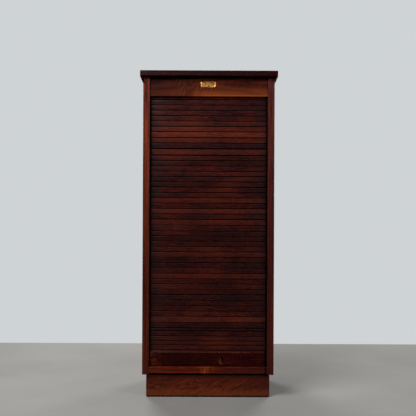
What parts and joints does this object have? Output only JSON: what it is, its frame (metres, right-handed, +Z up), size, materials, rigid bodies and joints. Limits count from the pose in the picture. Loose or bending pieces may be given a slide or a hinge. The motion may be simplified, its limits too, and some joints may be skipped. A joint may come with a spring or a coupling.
{
  "type": "tambour filing cabinet",
  "caption": "Tall narrow oak cabinet closed by a lift-up tambour of horizontal slats, with a locking lead bar, shelves, overhanging top on side cove mouldings and a recessed plinth.",
  "frame": {"origin": "middle of the cabinet's box, on the floor", "axes": "+Z up, -Y is the front with the tambour, +X to the right as one faces the front"},
  "size_m": [0.698, 0.455, 1.66],
  "materials": {
    "dark_stained_oak": "semi-gloss varnish",
    "dark_stained_oak_lead_bar": "semi-gloss varnish, darker",
    "oak_inside": "thin satin varnish",
    "birch_plywood": "bare",
    "aged_brass": "tarnished",
    "lock_steel": "plain"
  },
  "bodies": {
    "carcass": {"top_board": "dark_stained_oak", "cove_moulding_left": "dark_stained_oak", "cove_moulding_right": "dark_stained_oak", "fascia_board": "dark_stained_oak", "bottom_rail": "dark_stained_oak", "plinth_front": "dark_stained_oak", "plinth_left": "dark_stained_oak", "plinth_right": "dark_stained_oak", "plinth_back": "dark_stained_oak", "front_stile_left": "dark_stained_oak", "back_stile_left": "dark_stained_oak", "side_top_rail_left": "dark_stained_oak", "side_middle_rail_left": "dark_stained_oak", "side_bottom_rail_left": "dark_stained_oak", "side_panel_upper_left": "dark_stained_oak", "side_panel_lower_left": "dark_stained_oak", "front_stile_right": "dark_stained_oak", "back_stile_right": "dark_stained_oak", "side_top_rail_right": "dark_stained_oak", "side_middle_rail_right": "dark_stained_oak", "side_bottom_rail_right": "dark_stained_oak", "side_panel_upper_right": "dark_stained_oak", "side_panel_lower_right": "dark_stained_oak", "bottom_board": "oak_inside", "false_top": "oak_inside", "shelf_1": "oak_inside", "shelf_2": "oak_inside", "shelf_3": "oak_inside", "shelf_1_cleat_left": "oak_inside", "shelf_1_cleat_right": "oak_inside", "shelf_2_cleat_left": "oak_inside", "shelf_2_cleat_right": "oak_inside", "shelf_3_cleat_left": "oak_inside", "shelf_3_cleat_right": "oak_inside", "false_back": "birch_plywood", "back_panel": "birch_plywood", "nameplate": "aged_brass", "nameplate_pin_left": "aged_brass", "nameplate_pin_right": "aged_brass", "strike_plate": "aged_brass"},
    "shutter_lead_bar": {"shutter_lead_bar": "dark_stained_oak_lead_bar", "tambour_section_01": "dark_stained_oak", "lock_case": "lock_steel", "lock_bolt_pin": "lock_steel"},
    "tambour_section_02": {"tambour_section_02": "dark_stained_oak"},
    "tambour_section_03": {"tambour_section_03": "dark_stained_oak"},
    "tambour_section_04": {"tambour_section_04": "dark_stained_oak"},
    "tambour_section_05": {"tambour_section_05": "dark_stained_oak"},
    "tambour_section_06": {"tambour_section_06": "dark_stained_oak"},
    "tambour_section_07": {"tambour_section_07": "dark_stained_oak"},
    "tambour_section_08": {"tambour_section_08": "dark_stained_oak"},
    "tambour_section_09": {"tambour_section_09": "dark_stained_oak"},
    "tambour_section_10": {"tambour_section_10": "dark_stained_oak"},
    "tambour_section_11": {"tambour_section_11": "dark_stained_oak"},
    "tambour_section_12": {"tambour_section_12": "dark_stained_oak"},
    "lock_hook_bolt": {"lock_hook_bolt": "lock_steel"}
  },
  "joints": [
    {"name": "shutter_lift", "type": "slide", "parent": "carcass", "child": "shutter_lead_bar", "axis": [0, 0, 1], "range_m": [0, 1.281], "deforming": ["tambour_section_01"]},
    {"name": "tambour_section_02_lift", "type": "slide", "parent": "carcass", "child": "tambour_section_02", "axis": [0, 0, 1], "range_m": [0, 1.17041], "deforming": ["tambour_section_02"]},
    {"name": "tambour_section_03_lift", "type": "slide", "parent": "carcass", "child": "tambour_section_03", "axis": [0, 0, 1], "range_m": [0, 1.05882], "deforming": ["tambour_section_03"]},
    {"name": "tambour_section_04_lift", "type": "slide", "parent": "carcass", "child": "tambour_section_04", "axis": [0, 0, 1], "range_m": [0, 0.94722], "deforming": ["tambour_section_04"]},
    {"name": "tambour_section_05_lift", "type": "slide", "parent": "carcass", "child": "tambour_section_05", "axis": [0, 0, 1], "range_m": [0, 0.83563], "deforming": ["tambour_section_05"]},
    {"name": "tambour_section_06_lift", "type": "slide", "parent": "carcass", "child": "tambour_section_06", "axis": [0, 0, 1], "range_m": [0, 0.72404], "deforming": ["tambour_section_06"]},
    {"name": "tambour_section_07_lift", "type": "slide", "parent": "carcass", "child": "tambour_section_07", "axis": [0, 0, 1], "range_m": [0, 0.61245], "deforming": ["tambour_section_07"]},
    {"name": "tambour_section_08_lift", "type": "slide", "parent": "carcass", "child": "tambour_section_08", "axis": [0, 0, 1], "range_m": [0, 0.50086], "deforming": ["tambour_section_08"]},
    {"name": "tambour_section_09_lift", "type": "slide", "parent": "carcass", "child": "tambour_section_09", "axis": [0, 0, 1], "range_m": [0, 0.38927], "deforming": ["tambour_section_09"]},
    {"name": "tambour_section_10_lift", "type": "slide", "parent": "carcass", "child": "tambour_section_10", "axis": [0, 0, 1], "range_m": [0, 0.27768], "deforming": ["tambour_section_10"]},
    {"name": "tambour_section_11_lift", "type": "slide", "parent": "carcass", "child": "tambour_section_11", "axis": [0, 0, 1], "range_m": [0, 0.16608], "deforming": ["tambour_section_11"]},
    {"name": "tambour_section_12_lift", "type": "slide", "parent": "carcass", "child": "tambour_section_12", "axis": [0, 0, 1], "range_m": [0, 0.05449], "deforming": ["tambour_section_12"]},
    {"name": "lock_bolt_throw", "type": "hinge", "parent": "shutter_lead_bar", "child": "lock_hook_bolt", "pos_m": [0.06, -0.1765, 0.1716], "axis": [0, 1, 0], "range_deg": [0, 75]}
  ],
  "couplings": [
    {"joint": "tambour_section_02_lift", "follows": "shutter_lift", "ratio": 0.91289},
    {"joint": "tambour_section_03_lift", "follows": "shutter_lift", "ratio": 0.82577},
    {"joint": "tambour_section_04_lift", "follows": "shutter_lift", "ratio": 0.73866},
    {"joint": "tambour_section_05_lift", "follows": "shutter_lift", "ratio": 0.65155},
    {"joint": "tambour_section_06_lift", "follows": "shutter_lift", "ratio": 0.56444},
    {"joint": "tambour_section_07_lift", "follows": "shutter_lift", "ratio": 0.47732},
    {"joint": "tambour_section_08_lift", "follows": "shutter_lift", "ratio": 0.39021},
    {"joint": "tambour_section_09_lift", "follows": "shutter_lift", "ratio": 0.3031},
    {"joint": "tambour_section_10_lift", "follows": "shutter_lift", "ratio": 0.21598},
    {"joint": "tambour_section_11_lift", "follows": "shutter_lift", "ratio": 0.12887},
    {"joint": "tambour_section_12_lift", "follows": "shutter_lift", "ratio": 0.041758}
  ]
}
